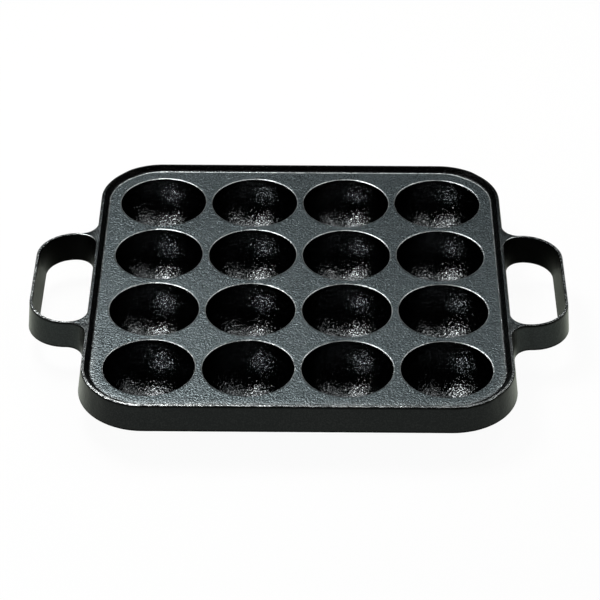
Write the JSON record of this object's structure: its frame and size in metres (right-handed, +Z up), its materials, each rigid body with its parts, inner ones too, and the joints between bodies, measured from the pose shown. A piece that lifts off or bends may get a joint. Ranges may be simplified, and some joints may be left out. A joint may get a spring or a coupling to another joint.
{
  "type": "takoyaki maker",
  "caption": "Cast-iron takoyaki pan: a square plate with a grid of half-round cups, a raised rim, a skirt that leans outward and a loop handle on each side.",
  "frame": {"origin": "centre of the pan in plan, at the level of the flat feet under its cups", "axes": "+X towards the right handle, +Y towards the back, +Z up; the pan's front faces -Y"},
  "size_m": [0.244, 0.1922, 0.0246],
  "materials": {
    "plate_iron": "black baked coating over a sand-cast grain",
    "wall_iron": "black baked coating, smoother than the plate",
    "handle_iron": "black baked coating, smoother than the plate"
  },
  "bodies": {
    "root": {"cup_row_1_column_1": "plate_iron", "cup_row_1_column_2": "plate_iron", "cup_row_1_column_3": "plate_iron", "cup_row_1_column_4": "plate_iron", "cup_row_2_column_1": "plate_iron", "cup_row_2_column_2": "plate_iron", "cup_row_2_column_3": "plate_iron", "cup_row_2_column_4": "plate_iron", "cup_row_3_column_1": "plate_iron", "cup_row_3_column_2": "plate_iron", "cup_row_3_column_3": "plate_iron", "cup_row_3_column_4": "plate_iron", "cup_row_4_column_1": "plate_iron", "cup_row_4_column_2": "plate_iron", "cup_row_4_column_3": "plate_iron", "cup_row_4_column_4": "plate_iron", "front_wall": "wall_iron", "back_wall": "wall_iron", "left_wall": "wall_iron", "right_wall": "wall_iron", "left_handle": "handle_iron", "right_handle": "handle_iron"}
  },
  "joints": []
}
